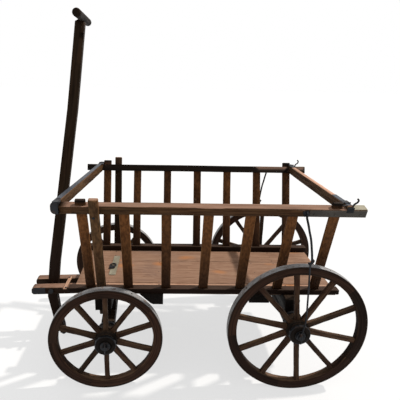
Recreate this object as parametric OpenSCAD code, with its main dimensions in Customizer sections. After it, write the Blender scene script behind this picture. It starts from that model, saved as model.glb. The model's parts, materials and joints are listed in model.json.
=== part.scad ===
// Four-wheeled ladder hand cart with a steered front carriage and a drawbar.
// +Z is up, the cart's front points towards -X and its left side is -Y.
// The origin is on the ground, under the middle of the overall box.

/* [Body] */
// Distance from the kingpin to the rear axle
wheelbase = 784; // [660:4:960]
// How far the ladders reach ahead of the kingpin
body_front = 162; // [130:2:190]
// How far the ladders reach behind the rear axle
body_rear = 212; // [170:2:260]
// Height of the bottom rails' tops above the ground
rail_top_z = 385; // [372:1:460]
// Width across the outer faces of the bottom rails
rail_span = 445; // [400:5:460]
// Width of a bottom rail
rail_w = 34.5; // [28:0.5:42]
// Height of a bottom rail
rail_h = 21.6; // [18:0.2:28]
// Thickness of the floor planks
plank_t = 18; // [12:1:22]
// Gap between two floor planks
plank_gap = 2; // [0.5:0.5:5]
// How far the left top rail stops short of the ladders' front end
left_rail_short = 26; // [0:1:30]
// How far the right top rail stops short of the ladders' rear end
right_rail_short = 15; // [0:1:30]
// How far the floor planks' tops lie below the bottom rails' tops
floor_drop = 27; // [24:1:34]
// Place of the seam between the left and the middle plank
left_seam_y = -130; // [-140:1:-70]
// Place of the seam between the middle and the right plank
right_seam_y = 75; // [50:1:140]

/* [Ladders] */
// Outward lean of each ladder from upright, in degrees
ladder_lean = 15.7; // [8:0.1:19]
// Distance along a slat from the bottom rail's top to the top rail's centre line
ladder_h = 404; // [320:2:480]
// Number of slats on each side
slat_count = 7; // [4:1:9]
// Distance from the ladders' front end to the middle of the first slat
slat_inset = 104; // [84:1:130]
// Distance from the ladders' rear end to the middle of the last slat
slat_rear_inset = 109.6; // [84:0.2:130]
// Width of a slat
slat_w = 38; // [26:1:46]
// Thickness of a slat
slat_t = 16; // [10:0.5:20]
// How far the end slats stand proud of the top rail
slat_head = 22; // [0:1:40]
// Depth of a slat's tenon in either rail
slat_tenon = 14; // [8:1:16]
// Width of a top rail, across the ladder's plane
top_rail_w = 33; // [26:1:40]
// Height of a top rail, in the ladder's plane
top_rail_h = 32; // [26:1:40]
// Height of the cross rails that tie the two ladders
cross_rail_h = 40; // [28:1:44]
// Height of the cross rails' ends, which are halved over the top rails
cross_end_h = 24; // [18:1:26]
// Width of the front cross rail
front_cross_w = 21; // [18:1:30]
// Width of the rear cross rail
rear_cross_w = 21; // [18:1:30]
// Height of the cross rails' tops above the top rails' outer edges
cross_rail_proud = 15; // [12:1:20]
// How far the front cross rail has been pulled out of square, in degrees
front_cross_skew = -5.4; // [-6:0.2:0]
// How far the rear cross rail has been pulled out of square, in degrees
rear_cross_skew = 2; // [-3:0.2:3]
// Distance from the ladders' front end to the middle of the front cross rail
front_cross_inset = 43; // [40:0.5:54]
// Distance from the ladders' rear end to the middle of the rear cross rail
rear_cross_inset = 77; // [40:1:86]

/* [Bolsters and stakes] */
// Width of the front bolster, along the cart
bolster_w = 65; // [50:1:80]
// Width of the rear bolster, along the cart
rear_bolster_w = 60; // [50:1:80]
// Length of both bolsters
bolster_len = 524; // [512:2:528]
// Height of the front bolster under the planks
front_bolster_h = 31.4; // [26:0.2:34]
// Height of the rear bolster under the planks
rear_bolster_h = 44; // [34:1:50]
// Width of a stake, along the cart
stake_w = 35; // [26:1:42]
// Thickness of a stake
stake_t = 20; // [14:1:22]
// Gap between a stake and the bottom rail's lower edge
stake_gap = 4.2; // [2:0.1:12]
// Height of a stake's top above the top rail's outer edge
stake_proud = 37; // [15:1:60]
// How far a stake's foot reaches below the front bolster
stake_foot = 46; // [10:1:50]
// Width of the reach pole under the floor
reach_w = 50; // [36:1:60]
// Thickness of the reach pole
reach_t = 26; // [20:1:28]
// Width of a cross batten, along the cart
batten_w = 44; // [30:1:60]
// Height of a cross batten under the planks
batten_h = 43; // [36:1:50]
// How far a cross batten's underside rises towards its ends
batten_rise = 16; // [0:1:24]
// Width of the rear cross batten, along the cart
rear_batten_w = 84; // [40:1:100]
// Distance from the kingpin back to the front batten
front_batten = 224; // [200:2:280]
// Distance from the rear axle forward to the rear batten
rear_batten = 130; // [100:2:180]

/* [Wheels] */
// Radius of a front wheel over its tyre
front_r = 226; // [188:1:230]
// Radius of a rear wheel over its tyre
rear_r = 280; // [232:1:300]
// Distance from the cart's middle plane to the wheels' middle plane
wheel_y = 331.6; // [326:0.2:400]
// Width of the rims and tyres
rim_w = 28; // [22:1:36]
// Thickness of the iron tyres
tyre_t = 5; // [3:0.5:8]
// Depth of the wooden rims, from tyre to inner face
rim_depth = 32; // [24:1:40]
// Number of spokes in a wheel
spoke_count = 10; // [6:1:14]
// Number of felloes in a rim
felloe_count = 5; // [3:1:7]
// Width of a spoke where it leaves the nave
spoke_root_w = 23; // [18:1:26]
// Width of a spoke where it meets the rim
spoke_tip_w = 17; // [12:1:22]
// Thickness of a spoke, across the wheel
spoke_t = 20; // [14:1:24]
// Depth of a spoke's tenon in the nave and the rim
spoke_tenon = 12; // [8:1:14]
// Radius of a nave at its belly
nave_r = 46; // [40:1:56]
// Radius of a nave at its outer end
nave_end_r = 38; // [30:1:40]
// Radius of a nave at its inner end
nave_inner_r = 36; // [30:1:40]
// How far a nave reaches outside the wheel's middle plane
nave_out = 45.2; // [38:0.2:54]
// How far a nave reaches inside the wheel's middle plane
nave_in = 62; // [50:1:66]
// Radius of the iron front axle
front_axle_r = 9; // [7:0.5:11]
// Radius of the iron rear axle
rear_axle_r = 10; // [8:0.5:12]
// Radial running clearance of a nave on its axle
axle_clear = 0.05; // [0.02:0.01:0.1]
// End play of a nave between its collar and its washer
end_play = 0.6; // [0.4:0.1:1.5]
// Radius of the iron bands' growth over the nave
band_t = 3.5; // [2:0.5:5]

/* [Front carriage] */
// Angle that the parked front carriage stands turned by, in degrees
steer_rest = 3.7; // [0:0.1:5]
// Length of both wooden axle beds
axle_bed_len = 510; // [480:2:520]
// Width of both wooden axle beds, along the cart
axle_bed_w = 54; // [44:1:64]
// How far the rear axle bed reaches below the axle's middle
rear_bed_under = 30; // [24:1:34]
// Height of the front axle bed
front_bed_h = 46; // [40:1:48]
// Length of the turning bolster that carries the rub plate
turning_len = 340; // [240:5:360]
// How far the hounds reach ahead of the kingpin
hound_front = 363; // [340:1:400]
// How far the hounds reach behind the kingpin
hound_back = 60; // [40:1:80]
// Thickness of a hound
hound_t = 38; // [22:1:42]
// Height of a hound
hound_h = 32; // [24:1:34]
// Free space between the two hounds
hound_gap = 44; // [38:1:50]
// Thickness of a rub plate
rub_t = 4; // [3:0.5:6]
// Radius of the rub plates
rub_r = 90; // [60:1:100]
// Running gap between the two rub plates
rub_gap = 0.4; // [0.3:0.1:0.8]
// Radius of the kingpin
kingpin_r = 9; // [7:0.5:11]
// Radial running clearance of the kingpin and the drawbar bolt
pin_clear = 0.05; // [0.02:0.01:0.1]

/* [Drawbar] */
// Thickness of the drawbar pole, across the cart
pole_t = 33; // [24:1:34]
// Distance from the kingpin forward to the drawbar bolt
bolt_ahead = 276; // [268:1:290]
// Radius of the drawbar bolt
bolt_r = 6; // [5:0.5:8]
// Length of the handle bar
handle_len = 290; // [220:5:400]
// Radius of the handle bar
handle_r = 16; // [12:0.5:20]
// Radius of the iron knob on the drawbar's tail
knob_r = 12; // [9:0.5:13]

/* [Ironwork] */
// Width of the corner straps
strap_w = 26; // [18:1:34]
// Thickness of the straps
strap_t = 3; // [2:0.5:5]
// Radius of the rear stays' rod
stay_r = 3; // [2.5:0.1:6]
// Height of a corner spike over its strap
spike_h = 20; // [10:1:30]

/* [Hidden] */
$fn = 64;

// Colours
c_wood = "#5a3820";
c_plank = "#b69a84";
c_dark = "#3b2a1e";
c_iron = "#3c3d40";

// Places along the cart: the box reaches from the hounds' turned tips to the rear tyres
hound_out = hound_gap / 2 + hound_t;
tip_x = hound_front * cos(steer_rest) + hound_out * sin(steer_rest);
rear_reach = max(rear_r, body_rear);
kx = tip_x - (tip_x + wheelbase + rear_reach) / 2;
rx = kx + wheelbase;
front_x = kx - body_front;
back_x = rx + body_rear;
slat_pitch = (back_x - front_x - slat_inset - slat_rear_inset) / (slat_count - 1);

// Heights
rail_z0 = rail_top_z - rail_h;
floor_z = rail_top_z - floor_drop;
plank_z0 = floor_z - plank_t;
front_bolster_z0 = plank_z0 - front_bolster_h;
rear_bolster_z0 = plank_z0 - rear_bolster_h;
reach_z0 = plank_z0 - 2 - reach_t;
reach_nose_z0 = front_bolster_z0 + 9;
upper_plate_z0 = front_bolster_z0 - rub_t;
lower_plate_z0 = upper_plate_z0 - rub_gap - rub_t;
turning_z0 = front_r + front_bed_h / 2 + 1;
front_bed_z0 = turning_z0 - front_bed_h;
hound_z0 = lower_plate_z0 - 3 - hound_h;
hound_z1 = hound_z0 + hound_h;
bolt_z = hound_z0 + hound_h / 2;
rear_bed_z0 = rear_r - rear_bed_under;

// Widths
rail_out = rail_span / 2;
rail_in = rail_out - rail_w;
ladder_y = rail_out - rail_w / 2;
floor_half = rail_in;

// Top rail's outer upper edge, in the world
edge_y = ladder_y + (ladder_h + top_rail_h / 2) * sin(ladder_lean)
       + top_rail_w / 2 * cos(ladder_lean);
edge_z = rail_top_z + (ladder_h + top_rail_h / 2) * cos(ladder_lean)
       - top_rail_w / 2 * sin(ladder_lean);
top_rail_in_y = ladder_y + (ladder_h - top_rail_h / 2) * sin(ladder_lean)
                - top_rail_w / 2 * cos(ladder_lean);
cross_z1 = edge_z + cross_rail_proud;
cross_z0 = cross_z1 - cross_rail_h;
cross_half = edge_y - 3;
front_cross_x = front_x + front_cross_inset;
rear_cross_x = back_x - rear_cross_inset;

// Stakes
stake_top_z = edge_z + stake_proud;
stake_bottom_z = front_bolster_z0 - stake_foot;
stake_in_y = edge_y + 0.2;
stake_lean = atan((stake_in_y - rail_out - stake_gap) / (edge_z - rail_z0));
stake_y = stake_in_y + stake_t / 2 / cos(stake_lean);

// Wheels and axles
nave_out_y = wheel_y + nave_out;
nave_in_y = wheel_y - nave_in;
washer_t = 3.6;
collar_r = 16;
eye_t = 6;
eye_y = nave_out_y + end_play + washer_t + 1;
axle_end_y = eye_y + eye_t + 6.5;
rim_r0_front = front_r - tyre_t - rim_depth;
rim_r0_rear = rear_r - tyre_t - rim_depth;

// Drawbar, as places ahead of the kingpin and heights, from the top to the tail
pole_line = [[99, 1449], [146, 1104], [202, 758], [223, 630], [262, 400],
             [bolt_ahead, bolt_z], [282, 228], [267, 117], [249, 52], [245, 24]];
pole_half = [19, 20.5, 22, 22.5, 23, 23, 22, 18, 14, 10.5];
handle_x = -90;
handle_z = 1466;
roll_rest = 5.3;
knob_x = -244;
knob_z = knob_r + 7;
shoe_len = 62;
knuckle = 0.4;
cap_t = 4;
cap_len = 46;
knee_t = 30;
lip_w = 5;
knee_len = 58;
stake_set_back = 5;
plate_y0 = -65;
plate_y1 = 121;
tie_x = -205.5;
tie_y = -25;
tie_w = 17;
tie_len = 112;
tie_skew = 4.2;

// ---------- helpers ----------

// Right-hand pieces are the left-hand ones seen in a mirror along the cart's middle
module on_side(side) {
    if (side < 0) children();
    else mirror([0, 1, 0]) children();
}

// Places a ladder's own plane: x along the cart, y across it, z up along its slats
module in_ladder() {
    translate([0, -ladder_y, rail_top_z]) rotate([ladder_lean, 0, 0]) children();
}

// Places the front carriage, which is modelled about the kingpin
module in_carriage() {
    translate([kx, 0, 0]) rotate([0, 0, steer_rest]) children();
}

// A box given by its lowest and highest corners
module span(low, high) {
    translate(low) cube(high - low);
}

// A round rod through a list of points
module rod(points, r) {
    for (i = [0 : len(points) - 2]) {
        d = points[i + 1] - points[i];
        translate(points[i])
            rotate([0, acos(d[2] / norm(d)), atan2(d[1], d[0])])
                cylinder(r = r, h = norm(d), $fn = 24);
    }
    for (i = [1 : len(points) - 2]) translate(points[i]) sphere(r = r + knuckle, $fn = 24);
}

// ---------- body ----------

module kingpin_hole(clear = 0) {
    translate([kx, 0, 200]) cylinder(r = kingpin_r + clear, h = 220);
}

module floor_planks() {
    seams = [-floor_half, left_seam_y, right_seam_y, floor_half];
    color(c_plank) difference() {
        for (i = [0 : 2]) {
            y0 = seams[i] + (i > 0 ? plank_gap / 2 : 0);
            y1 = seams[i + 1] - (i < 2 ? plank_gap / 2 : 0);
            span([front_x + 24, y0, plank_z0], [back_x - 2 - 4 * i, y1, floor_z]);
        }
        kingpin_hole();
    }
}

// A cross member whose middle carries the planks and whose ends carry the bottom rails.
// Its underside rises to end_z at both ends.
module cross_member(x, w, half, z0, end_z) {
    flat = floor_half * 0.35;
    step = floor_half + lip_w;
    translate([x, 0, 0]) rotate([90, 0, 90]) linear_extrude(w, center = true)
        polygon([[-half, rail_z0], [-half, end_z], [-flat, z0], [flat, z0], [half, end_z],
                 [half, rail_z0], [step, rail_z0], [step, plank_z0],
                 [-step, plank_z0], [-step, rail_z0]]);
}

module reach_channel(z0) {
    span([front_x, -reach_w / 2, z0], [back_x, reach_w / 2, plank_z0 + 1]);
}

// A sloping knee in front of the front batten, under a bottom rail
module knee(end_z) {
    x1 = kx + front_batten - batten_w / 2;
    translate([0, -rail_out - 1 + knee_t, 0]) rotate([90, 0, 0]) linear_extrude(knee_t)
        polygon([[x1 - knee_len, rail_z0], [x1 - 8, end_z + 4], [x1 + 1, end_z + 1],
                 [x1 + 1, rail_z0]]);
}

module cross_battens() {
    batten_z0 = plank_z0 - batten_h;
    end_z = batten_z0 + batten_rise;
    color(c_dark) difference() {
        union() {
            cross_member(kx + front_batten, batten_w, rail_out + 1, batten_z0, end_z);
            cross_member(rx - rear_batten, rear_batten_w, rail_out + 1, batten_z0 + 10,
                         end_z + 10);
            for (s = [-1, 1]) on_side(s) knee(end_z);
        }
        reach_channel(reach_z0);
    }
}

module front_bolster() {
    color(c_dark) difference() {
        cross_member(kx, bolster_w, bolster_len / 2, front_bolster_z0, front_bolster_z0);
        reach_channel(reach_nose_z0);
        kingpin_hole();
        for (s = [-1, 1]) on_side(s) stake_solid();
    }
}

module rear_bolster() {
    color(c_dark) difference() {
        cross_member(rx, rear_bolster_w, bolster_len / 2, rear_bolster_z0, rear_bolster_z0);
        reach_channel(reach_z0);
    }
}

module axle_bore(x, z, r) {
    translate([x, 0, z]) rotate([90, 0, 0])
        cylinder(r = r, h = 2 * axle_end_y + 20, center = true);
}

module rear_axle_bed() {
    color(c_dark) difference() {
        span([rx - axle_bed_w / 2, -axle_bed_len / 2, rear_bed_z0],
             [rx + axle_bed_w / 2, axle_bed_len / 2, rear_bolster_z0]);
        axle_bore(rx, rear_r, rear_axle_r);
    }
}

// An iron axle with a collar inside each nave and a washer outside it
module axle(r, bed_half) {
    rotate([90, 0, 0]) cylinder(r = r, h = 2 * axle_end_y, center = true);
    for (s = [-1, 1]) rotate([90 * s, 0, 0]) {
        translate([0, 0, bed_half]) cylinder(r = collar_r, h = nave_in_y - end_play - bed_half);
        translate([0, 0, nave_out_y + end_play]) cylinder(r = collar_r + 4, h = washer_t);
    }
}

module rear_axle() {
    color(c_iron) translate([rx, 0, rear_r]) axle(rear_axle_r, axle_bed_len / 2);
}

module reach_pole() {
    nose_x = kx + rub_r + 14;
    color(c_dark) difference() {
        rotate([90, 0, 0]) linear_extrude(reach_w, center = true)
            polygon([[kx - 52, reach_nose_z0], [nose_x, reach_nose_z0], [nose_x + 30, reach_z0],
                     [rx + 48, reach_z0], [rx + 48, plank_z0 - 2], [kx - 52, plank_z0 - 2]]);
        kingpin_hole();
    }
}

module kingpin() {
    top = floor_z + strap_t;
    color(c_iron) translate([kx, 0, 0]) {
        translate([0, 0, turning_z0 - 12]) cylinder(r = kingpin_r, h = top - turning_z0 + 12 + 4);
        translate([0, 0, top]) cylinder(r = kingpin_r + 4, h = 6);
        translate([2, 20, top + 3.6])
            rotate_extrude() translate([13, 0]) circle(r = 3.4, $fn = 24);
    }
}

module kingpin_plate() {
    color(c_iron) difference() {
        span([kx - 6, plate_y0, floor_z], [kx + 24, plate_y1, floor_z + strap_t]);
        kingpin_hole();
    }
}

module rub_plate(z0, clear) {
    difference() {
        translate([kx, 0, z0]) cylinder(r = rub_r, h = rub_t);
        kingpin_hole(clear);
    }
}

module upper_rub_plate() {
    color(c_iron) rub_plate(upper_plate_z0, 0);
}

// ---------- ladders ----------

// One slat of the left ladder, in the ladder's plane
module slat(i) {
    is_end = i == 0 || i == slat_count - 1;
    x = front_x + slat_inset + i * slat_pitch;
    top = is_end ? ladder_h + top_rail_h / 2 + slat_head
                 : ladder_h - top_rail_h / 2 + slat_tenon;
    span([x - slat_w / 2, -slat_t / 2, -slat_tenon], [x + slat_w / 2, slat_t / 2, top]);
}

module slats_solid() {
    in_ladder() for (i = [0 : slat_count - 1]) slat(i);
}

// The heads of the end slats are cut round the cross rails
module slats(side) {
    color(c_wood) difference() {
        on_side(side) slats_solid();
        both_cross_rails();
    }
}

module bottom_rail(side) {
    color(c_wood) on_side(side) difference() {
        translate([front_x + 9, 0, 0]) rotate([90, 0, 90])
            linear_extrude(back_x - front_x - 13)
                polygon([[-rail_out, rail_z0], [-rail_out, rail_top_z], [-rail_in, rail_top_z],
                         [-rail_in, floor_z - 4], [-rail_in - lip_w, floor_z - 4],
                         [-rail_in - lip_w, rail_z0]]);
        slats_solid();
    }
}

module cross_rail_solid(x, w, skew) {
    mid = top_rail_in_y - 3;
    end_z = cross_z1 - cross_end_h;
    translate([x, 0, 0]) rotate([0, 0, skew]) rotate([90, 0, 90])
        linear_extrude(w, center = true)
            polygon([[-cross_half, end_z], [-mid, end_z], [-mid, cross_z0], [mid, cross_z0],
                     [mid, end_z], [cross_half, end_z], [cross_half, cross_z1],
                     [-cross_half, cross_z1]]);
}

module both_cross_rails() {
    cross_rail_solid(front_cross_x, front_cross_w, front_cross_skew);
    cross_rail_solid(rear_cross_x, rear_cross_w, rear_cross_skew);
}

module top_rail(side) {
    x0 = front_x + (side < 0 ? left_rail_short : 0);
    x1 = back_x - (side < 0 ? 0 : right_rail_short);
    color(c_wood) difference() {
        on_side(side) difference() {
            in_ladder() span([x0, -top_rail_w / 2, ladder_h - top_rail_h / 2],
                             [x1, top_rail_w / 2, ladder_h + top_rail_h / 2]);
            slats_solid();
            stay_pin(side, stay_r + axle_clear);
        }
        both_cross_rails();
    }
}

module front_cross_rail() {
    color(c_wood) cross_rail_solid(front_cross_x, front_cross_w, front_cross_skew);
}

module rear_cross_rail() {
    color(c_wood) cross_rail_solid(rear_cross_x, rear_cross_w, rear_cross_skew);
}

// A strap round one end of a cross rail and the top rail under it, with a spike on it
module corner_iron(x, side) {
    on_side(side) difference() {
        union() {
            span([x - strap_w / 2, -edge_y - 2.5, cross_z1 - 3],
                 [x + strap_w / 2, -edge_y + 62, cross_z1 + strap_t]);
            in_ladder() span([x - strap_w / 2, -top_rail_w / 2 - strap_t,
                              ladder_h - top_rail_h / 2 - strap_t],
                             [x + strap_w / 2, top_rail_w / 2 + strap_t,
                              ladder_h + top_rail_h / 2 + 12]);
            translate([x, -edge_y + 6, cross_z1 + strap_t - 1])
                cylinder(r1 = 5, r2 = 2, h = spike_h + 1, $fn = 24);
        }
        in_ladder() span([x - strap_w, -top_rail_w / 2, ladder_h - top_rail_h / 2],
                         [x + strap_w, top_rail_w / 2, ladder_h + top_rail_h / 2 + 40]);
        span([x - strap_w, -edge_y + 0.01, cross_z0 - 40], [x + strap_w, -edge_y + 80, cross_z1]);
    }
}

// An iron cap over the left end of the front cross rail, against the top rail's end
module end_cap() {
    cap_x = front_cross_x + cross_half * sin(front_cross_skew);
    x0 = cap_x - front_cross_w / 2 - cap_t;
    x1 = front_x + left_rail_short - 0.3;
    z0 = cross_z1 - cross_rail_h - cap_t;
    z1 = cross_z1 + cap_t;
    r = (z1 - z0) * 0.36;
    difference() {
        translate([0, -edge_y - 1, 0]) rotate([90, 0, 180]) linear_extrude(cap_len)
            polygon(concat([[-x1, z0], [-x1, z1]], cap_nose(x0, z1 - r, r, 0),
                           cap_nose(x0, z0 + r, r, 90)));
        cross_rail_solid(front_cross_x, front_cross_w, front_cross_skew);
    }
}

// A quarter circle of the cap's nose, from its top (start 0) or its front (start 90)
function cap_nose(x0, z, r, start) =
    [for (a = [start : 15 : start + 90]) [-(x0 + r - r * sin(a)), z + r * cos(a)]];

module front_corner_irons() {
    color(c_iron) {
        end_cap();
        corner_iron(front_cross_x - cross_half * sin(front_cross_skew), 1);
    }
}

module rear_corner_irons() {
    color(c_iron) for (s = [-1, 1])
        corner_iron(rear_cross_x - s * cross_half * sin(rear_cross_skew), s);
}

// ---------- stakes and stays ----------

module stake_solid() {
    span_z = stake_top_z - stake_bottom_z;
    translate([kx - stake_set_back, -stake_y, edge_z]) rotate([stake_lean, 0, 0])
        span([-stake_w / 2, -stake_t / 2, (stake_bottom_z - edge_z) / cos(stake_lean)],
             [stake_w / 2, stake_t / 2, span_z / cos(stake_lean)
              + (stake_bottom_z - edge_z) / cos(stake_lean)]);
}

module stake(side) {
    color(c_wood) on_side(side) stake_solid();
}

// The stay's upper end, a pin in the outer face of the top rail
stay_drop = 15;

// The left stay has bent backward and the right one forward
function sway(side, x) = rx + (side < 0 ? x : -0.75 * x - 3);

module stay_pin(side, r) {
    translate([sway(side, -14), -edge_y + 12, edge_z - stay_drop]) rotate([90, 0, 0])
        cylinder(r = r, h = 18);
}

// A bent rod from a pin in the top rail down to an eye on the rear axle's end.
// Each bend is [behind the axle, out from the top rail's edge, down from that edge].
module stay(side) {
    eye_mid = eye_y + eye_t / 2;
    bends = [[-14, 6, stay_drop], [-9.6, 9, 41], [0.6, 13, 82], [8, 17, 112], [13, 22, 150],
             [17, 27, 196], [11.5, 29, 216], [11.5, 40, 305]];
    color(c_iron) on_side(side) difference() {
        union() {
            stay_pin(side, stay_r);
            rod(concat([for (b = bends) [sway(side, b[0]), -edge_y - b[1], edge_z - b[2]]],
                       [[sway(side, 12.5), -eye_mid + 3, rear_r + 84],
                        [rx, -eye_mid, rear_r + 14]]), stay_r);
            translate([rx, -eye_mid, rear_r]) rotate([90, 0, 0])
                cylinder(r = rear_axle_r + 6, h = eye_t, center = true);
            translate([sway(side, -14), -edge_y - 6, edge_z - stay_drop])
                sphere(r = stay_r + 2);
        }
        axle_bore(rx, rear_r, rear_axle_r + axle_clear);
    }
}

// ---------- front carriage, about the kingpin ----------

module carriage_pin_hole() {
    translate([0, 0, turning_z0 - 12.5]) cylinder(r = kingpin_r + pin_clear, h = 100);
}

module front_axle_bed() {
    color(c_dark) in_carriage() difference() {
        span([-axle_bed_w / 2, -axle_bed_len / 2, front_bed_z0],
             [axle_bed_w / 2, axle_bed_len / 2, turning_z0]);
        axle_bore(0, front_r, front_axle_r);
        carriage_pin_hole();
    }
}

module front_axle() {
    color(c_iron) in_carriage() translate([0, 0, front_r]) axle(front_axle_r, axle_bed_len / 2);
}

module hound_solid(side) {
    mid = side * (hound_gap + hound_t) / 2;
    translate([0, mid, bolt_z]) rotate([90, 0, 0]) linear_extrude(hound_t, center = true) {
        h = hound_h / 2;
        polygon([[-hound_front, 8 - h], [-hound_front, h - 8], [-hound_front + 8, h],
                 [hound_back, h], [hound_back, -h], [-hound_front + 8, -h]]);
    }
}

module hound(side) {
    color(c_wood) in_carriage() difference() {
        hound_solid(side);
        axle_bore(-bolt_ahead, bolt_z, bolt_r);
        if (side < 0) shoe_outside();
    }
}

module turning_bolster() {
    color(c_dark) in_carriage() difference() {
        span([-axle_bed_w / 2, -turning_len / 2, turning_z0],
             [axle_bed_w / 2, turning_len / 2, lower_plate_z0]);
        for (s = [-1, 1]) hound_solid(s);
        carriage_pin_hole();
    }
}

// A flat wooden tie across both hounds behind the drawbar
module hound_tie() {
    color(c_plank) in_carriage()
        translate([tie_x, tie_y, 0]) rotate([0, 0, -tie_skew])
            span([-tie_w / 2, -tie_len / 2, hound_z1], [tie_w / 2, tie_len / 2, hound_z1 + 6]);
}

module shoe_outside() {
    x0 = -hound_front - 1;
    span([x0, -hound_out - 1, hound_z0 - 1], [x0 + shoe_len + 1, -hound_out + 3, hound_z1 + 1]);
}

// An iron shoe let into the outer face of the left hound's front end
module hound_shoe() {
    color(c_iron) in_carriage() difference() {
        intersection() {
            hound_solid(-1);
            shoe_outside();
        }
        axle_bore(-bolt_ahead, bolt_z, bolt_r);
    }
}

module lower_rub_plate() {
    color(c_iron) rub_plate(lower_plate_z0, pin_clear);
}

module drawbar_bolt() {
    color(c_iron) in_carriage() translate([-bolt_ahead, 0, bolt_z]) rotate([90, 0, 0]) {
        cylinder(r = bolt_r, h = 2 * hound_out + 1, center = true);
        for (s = [-1, 1]) translate([0, 0, s * (hound_out + 3.5)])
            cylinder(r = bolt_r + 5, h = 7, center = true);
    }
}

// ---------- drawbar, about the kingpin ----------

// Unit normal of the pole's centre line at station i, in the side view
function pole_normal(i) =
    let (a = pole_line[max(i - 1, 0)], b = pole_line[min(i + 1, len(pole_line) - 1)], d = b - a)
    [-d[1], d[0]] / norm(d);

function pole_side(sign) = [for (i = [0 : len(pole_line) - 1])
    let (p = pole_line[i] + sign * pole_half[i] * pole_normal(i)) [-p[0], p[1]]];

function reversed(list) = [for (i = [len(list) - 1 : -1 : 0]) list[i]];

module drawbar_pole() {
    color(c_wood) in_carriage() difference() {
        rotate([90, 0, 0]) linear_extrude(pole_t, center = true)
            polygon(concat(pole_side(1), reversed(pole_side(-1)), [[handle_x, handle_z]]));
        axle_bore(-bolt_ahead, bolt_z, bolt_r + pin_clear);
        axle_bore(handle_x, handle_z, handle_r);
        translate([knob_x, 0, knob_z]) sphere(r = knob_r);
    }
}

module drawbar_handle() {
    color(c_wood) in_carriage() translate([handle_x, 0, handle_z]) rotate([90, 0, 0])
        cylinder(r = handle_r, h = handle_len, center = true);
}

module drawbar_knob() {
    color(c_iron) in_carriage() translate([knob_x, 0, knob_z]) sphere(r = knob_r);
}

// ---------- wheels: modelled lying flat, with their outer side up ----------

module place_wheel(front, side) {
    if (front) in_carriage() translate([0, side * wheel_y, front_r])
        rotate([side < 0 ? 90 : -90, 0, 0]) rotate([0, 0, side < 0 ? 90 : -90]) children();
    else translate([rx, side * wheel_y, rear_r])
        rotate([side < 0 ? 90 : -90, 0, 0]) rotate([0, 0, side < 0 ? 90 + roll_rest : -90])
            children();
}

module spokes_solid(rim_r0) {
    r0 = nave_r - spoke_tenon;
    r1 = rim_r0 + spoke_tenon;
    tenon_w = 1.7 * PI * r0 / spoke_count;
    for (i = [0 : spoke_count - 1]) rotate([0, 0, i * 360 / spoke_count])
        linear_extrude(spoke_t, center = true)
            polygon([[r0, -tenon_w / 2], [nave_r - 1, -tenon_w / 2], [nave_r - 1, -spoke_root_w / 2],
                     [r1, -spoke_tip_w / 2], [r1, spoke_tip_w / 2],
                     [nave_r - 1, spoke_root_w / 2], [nave_r - 1, tenon_w / 2], [r0, tenon_w / 2]]);
}

module nave_solid(bore_r, rim_r0) {
    difference() {
        rotate_extrude() polygon([
            [bore_r, -nave_in], [nave_inner_r, -nave_in], [nave_inner_r, -nave_in + 16],
            [nave_r - 3, -18], [nave_r, -14], [nave_r, 14], [nave_r - 3, 18],
            [nave_end_r, nave_out - 15], [nave_end_r, nave_out], [bore_r, nave_out]]);
        spokes_solid(rim_r0);
    }
}

module bands_solid() {
    for (b = [[nave_inner_r, -nave_in + 2, 13], [nave_end_r, nave_out - 14, 12]])
        translate([0, 0, b[1]]) difference() {
            cylinder(r = b[0] + band_t, h = b[2]);
            translate([0, 0, -1]) cylinder(r = b[0], h = b[2] + 2);
        }
}

module felloes_solid(rim_r0) {
    turn = 360 / felloe_count;
    joint = 0.25;
    difference() {
        for (i = [0 : felloe_count - 1]) rotate([0, 0, i * turn + turn / 4 + joint / 2])
            rotate_extrude(angle = turn - joint, $fn = 96)
                translate([rim_r0, -rim_w / 2]) square([rim_depth, rim_w]);
        spokes_solid(rim_r0);
    }
}

module tyre_solid(r) {
    difference() {
        cylinder(r = r, h = rim_w, center = true, $fn = 120);
        cylinder(r = r - tyre_t, h = rim_w + 2, center = true, $fn = 120);
    }
}

module front_nave(side) {
    color(c_dark) place_wheel(true, side) nave_solid(front_axle_r + axle_clear, rim_r0_front);
}

module rear_nave(side) {
    color(c_dark) place_wheel(false, side) nave_solid(rear_axle_r + axle_clear, rim_r0_rear);
}

module wheel_spokes(front, side) {
    color(c_wood) place_wheel(front, side) spokes_solid(front ? rim_r0_front : rim_r0_rear);
}

module wheel_felloes(front, side) {
    color(c_wood) place_wheel(front, side) felloes_solid(front ? rim_r0_front : rim_r0_rear);
}

module wheel_tyre(front, side) {
    color(c_iron) place_wheel(front, side) tyre_solid(front ? front_r : rear_r);
}

module wheel_bands(front, side) {
    color(c_iron) place_wheel(front, side) bands_solid();
}

// ---------- nodes ----------

floor_planks();
cross_battens();
front_bolster();
rear_bolster();
rear_axle_bed();
rear_axle();
reach_pole();
kingpin();
kingpin_plate();
upper_rub_plate();
bottom_rail(-1);  // left_bottom_rail
bottom_rail(1);  // right_bottom_rail
slats(-1);  // left_slats
slats(1);  // right_slats
top_rail(-1);  // left_top_rail
top_rail(1);  // right_top_rail
front_cross_rail();
rear_cross_rail();
front_corner_irons();
rear_corner_irons();
stake(-1);  // left_stake
stake(1);  // right_stake
stay(-1);  // left_stay
stay(1);  // right_stay
front_axle_bed();
front_axle();
turning_bolster();
hound(-1);  // left_hound
hound(1);  // right_hound
hound_tie();
hound_shoe();
lower_rub_plate();
drawbar_bolt();
drawbar_pole();
drawbar_handle();
drawbar_knob();
front_nave(-1);  // front_left_nave
wheel_spokes(true, -1);  // front_left_spokes
wheel_felloes(true, -1);  // front_left_felloes
wheel_tyre(true, -1);  // front_left_tyre
wheel_bands(true, -1);  // front_left_bands
front_nave(1);  // front_right_nave
wheel_spokes(true, 1);  // front_right_spokes
wheel_felloes(true, 1);  // front_right_felloes
wheel_tyre(true, 1);  // front_right_tyre
wheel_bands(true, 1);  // front_right_bands
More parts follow.
